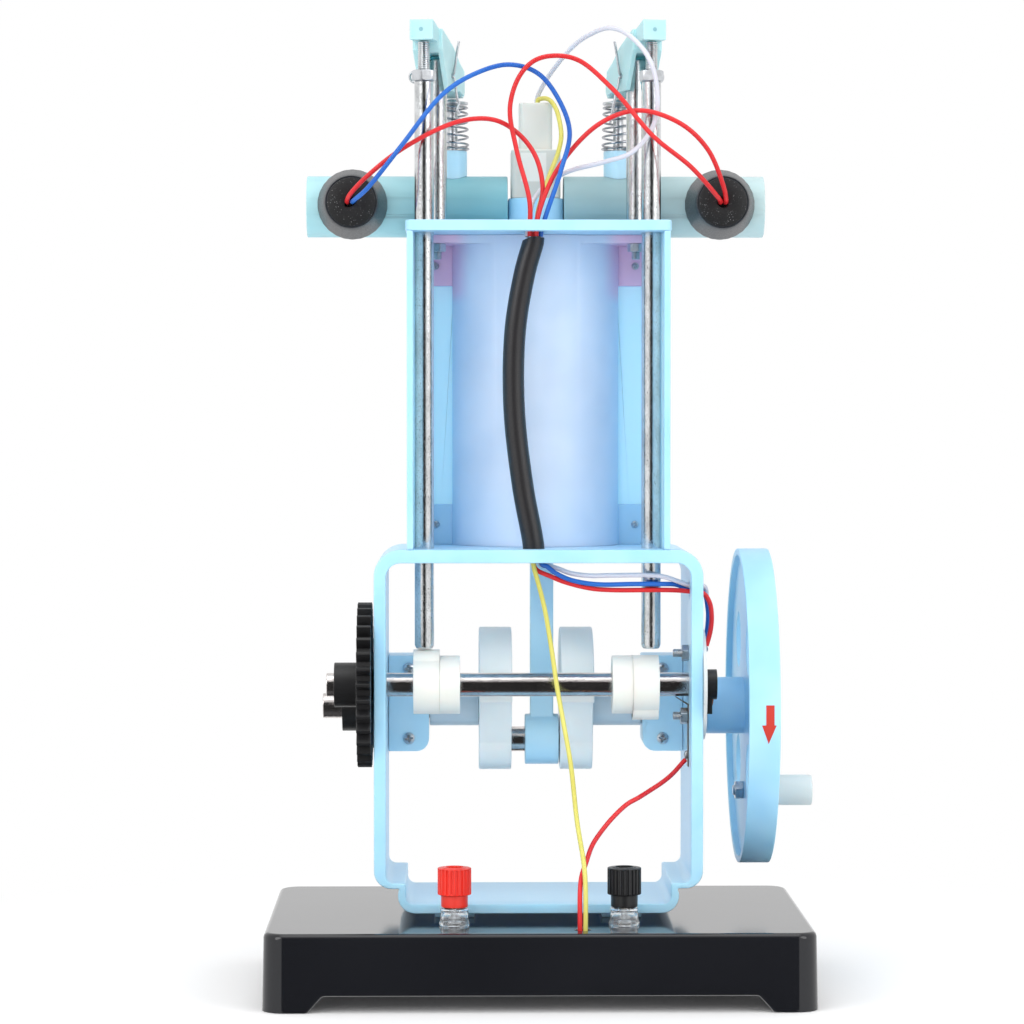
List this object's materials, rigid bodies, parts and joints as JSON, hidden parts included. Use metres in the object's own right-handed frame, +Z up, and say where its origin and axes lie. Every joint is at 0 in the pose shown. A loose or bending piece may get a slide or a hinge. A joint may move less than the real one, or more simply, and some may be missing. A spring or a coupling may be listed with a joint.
{
  "type": "four-stroke engine model",
  "caption": "Classroom model of a four-stroke engine on a tray base: handwheel, crank, timing gears, cams, push-rods, rockers, sprung valves, pipe lamps and two terminals.",
  "frame": {"origin": "the middle of the model's whole footprint, at the height of the table that its base rests on", "axes": "+X runs along the crankshaft to the handwheel, +Y to the open front where the piston shows, +Z up"},
  "size_m": [0.2572, 0.193, 0.4494],
  "materials": {
    "sky_plastic": "glossy sky-blue moulded plastic",
    "teal_plastic": "slightly translucent pale teal plastic",
    "white_nylon": "satin off-white nylon",
    "cylinder_plastic": "milky bluish-white plastic",
    "black_plastic": "glossy black moulded plastic",
    "black_nylon": "satin black nylon",
    "black_rubber": "soft black rubber with a fine grain",
    "plated_steel": "bright plated steel",
    "spring_steel": "drawn spring wire",
    "brass": "plain brass",
    "cast_aluminium": "plain turned aluminium",
    "ring_iron": "dark grey iron",
    "clear_plastic": "clear to milky plastic",
    "red_plastic": "glossy red moulded plastic",
    "red_wire": "smooth red insulation",
    "mixed_wire": "smooth insulation, one colour to a wire"
  },
  "bodies": {
    "frame": {"base": "black_plastic", "crankcase": "sky_plastic", "frame_screws": "plated_steel", "left_bearing_cap": "sky_plastic", "right_bearing_cap": "sky_plastic", "engine_body": "sky_plastic", "engine_cylinder": "cylinder_plastic", "head_plate": "sky_plastic", "cylinder_head": "sky_plastic", "inlet_pipe": "teal_plastic", "exhaust_pipe": "teal_plastic", "valve_guides": "sky_plastic", "left_lamp_cap": "black_rubber", "right_lamp_cap": "black_rubber", "lamps": "brass", "spark_lamp_holder": "clear_plastic", "rocker_posts": "plated_steel", "post_nuts": "plated_steel", "contact_disc": "white_nylon", "disc_screws": "plated_steel", "contact_strip": "brass", "wire_sleeve": "black_rubber", "left_lamp_wires": "mixed_wire", "right_lamp_wires": "red_wire", "spark_lamp_wires": "mixed_wire", "disc_wires": "mixed_wire", "base_wires": "mixed_wire", "terminal_insulators": "clear_plastic", "terminal_studs": "plated_steel", "left_rocker_pin": "plated_steel", "right_rocker_pin": "plated_steel", "inlet_spring": "spring_steel", "exhaust_spring": "spring_steel"},
    "crank": {"crankshaft": "plated_steel", "crank_webs": "white_nylon", "journal_spacers": "sky_plastic", "crank_gear": "black_nylon", "handwheel": "sky_plastic", "handle_bolt": "plated_steel"},
    "handle_grip": {"handle": "white_nylon"},
    "rod": {"connecting_rod": "sky_plastic", "wrist_pin": "plated_steel"},
    "piston_body": {"piston": "cast_aluminium", "piston_rings": "ring_iron"},
    "cams": {"camshaft": "plated_steel", "left_cam": "white_nylon", "right_cam": "white_nylon", "cam_gear": "black_nylon", "distributor_rotor": "black_nylon"},
    "left_lifter": {"left_push_rod": "plated_steel"},
    "right_lifter": {"right_push_rod": "plated_steel"},
    "left_rocker_arm": {"left_rocker": "teal_plastic"},
    "right_rocker_arm": {"right_rocker": "teal_plastic"},
    "inlet_valve_body": {"inlet_valve": "plated_steel"},
    "exhaust_valve_body": {"exhaust_valve": "plated_steel"},
    "red_insert_body": {"red_insert": "plated_steel"},
    "black_insert_body": {"black_insert": "plated_steel"},
    "red_knob_body": {"red_knob": "red_plastic"},
    "black_knob_body": {"black_knob": "black_plastic"}
  },
  "joints": [
    {"name": "crank_turn", "type": "hinge", "parent": "frame", "child": "crank", "pos_m": [-0.00365, 0.0215, 0.1282], "axis": [1, 0, 0], "continuous": true},
    {"name": "handle_turn", "type": "hinge", "parent": "crank", "child": "handle_grip", "pos_m": [0.11435, 0.0215, 0.0875], "axis": [1, 0, 0], "continuous": true},
    {"name": "rod_turn", "type": "hinge", "parent": "crank", "child": "rod", "pos_m": [-0.00065, 0.0215, 0.1122], "axis": [1, 0, 0], "continuous": true},
    {"name": "piston_slide", "type": "slide", "parent": "frame", "child": "piston_body", "axis": [0, 0, 1], "range_m": [0, 0.032]},
    {"name": "camshaft_turn", "type": "hinge", "parent": "frame", "child": "cams", "pos_m": [-0.00365, -0.0307, 0.14203], "axis": [1, 0, 0], "continuous": true},
    {"name": "left_lift", "type": "slide", "parent": "frame", "child": "left_lifter", "axis": [0, 0, 1], "range_m": [0, 0.0032]},
    {"name": "left_rock", "type": "hinge", "parent": "frame", "child": "left_rocker_arm", "pos_m": [-0.05012, -0.0065, 0.4254], "axis": [-0.9704, 0.2417, 0], "range_deg": [0, 7.6]},
    {"name": "inlet_valve_slide", "type": "slide", "parent": "frame", "child": "inlet_valve_body", "axis": [0, 0, 1], "range_m": [-0.0038, 0], "stiffness_N_per_m": 300, "springref_m": 0.002, "deforming": ["inlet_spring"]},
    {"name": "right_lift", "type": "slide", "parent": "frame", "child": "right_lifter", "axis": [0, 0, 1], "range_m": [0, 0.0032]},
    {"name": "right_rock", "type": "hinge", "parent": "frame", "child": "right_rocker_arm", "pos_m": [0.04282, -0.0065, 0.4254], "axis": [-0.9704, -0.2417, 0], "range_deg": [0, 7.6]},
    {"name": "exhaust_valve_slide", "type": "slide", "parent": "frame", "child": "exhaust_valve_body", "axis": [0, 0, 1], "range_m": [-0.0038, 0], "stiffness_N_per_m": 300, "springref_m": 0.002, "deforming": ["exhaust_spring"]},
    {"name": "red_insert_lift", "type": "slide", "parent": "frame", "child": "red_insert_body", "axis": [0, 0, 1], "range_m": [0, 0.0025]},
    {"name": "red_knob_turn", "type": "hinge", "parent": "red_insert_body", "child": "red_knob_body", "pos_m": [-0.04225, -0.0665, 0.05], "axis": [0, 0, 1], "range_deg": [0, 1810]},
    {"name": "black_insert_lift", "type": "slide", "parent": "frame", "child": "black_insert_body", "axis": [0, 0, 1], "range_m": [0, 0.0025]},
    {"name": "black_knob_turn", "type": "hinge", "parent": "black_insert_body", "child": "black_knob_body", "pos_m": [0.03495, -0.0665, 0.05], "axis": [0, 0, 1], "range_deg": [0, 1810]}
  ],
  "couplings": [
    {"joint": "rod_turn", "follows": "crank_turn", "ratio": -1},
    {"joint": "camshaft_turn", "follows": "crank_turn", "ratio": -0.5},
    {"joint": "left_rock", "follows": "left_lift", "rad_per_m": 40.098},
    {"joint": "inlet_valve_slide", "follows": "left_lift", "ratio": -1.157},
    {"joint": "right_rock", "follows": "right_lift", "rad_per_m": 40.098},
    {"joint": "exhaust_valve_slide", "follows": "right_lift", "ratio": -1.157},
    {"joint": "red_knob_turn", "follows": "red_insert_lift", "rad_per_m": 12566},
    {"joint": "black_knob_turn", "follows": "black_insert_lift", "rad_per_m": 12566}
  ]
}
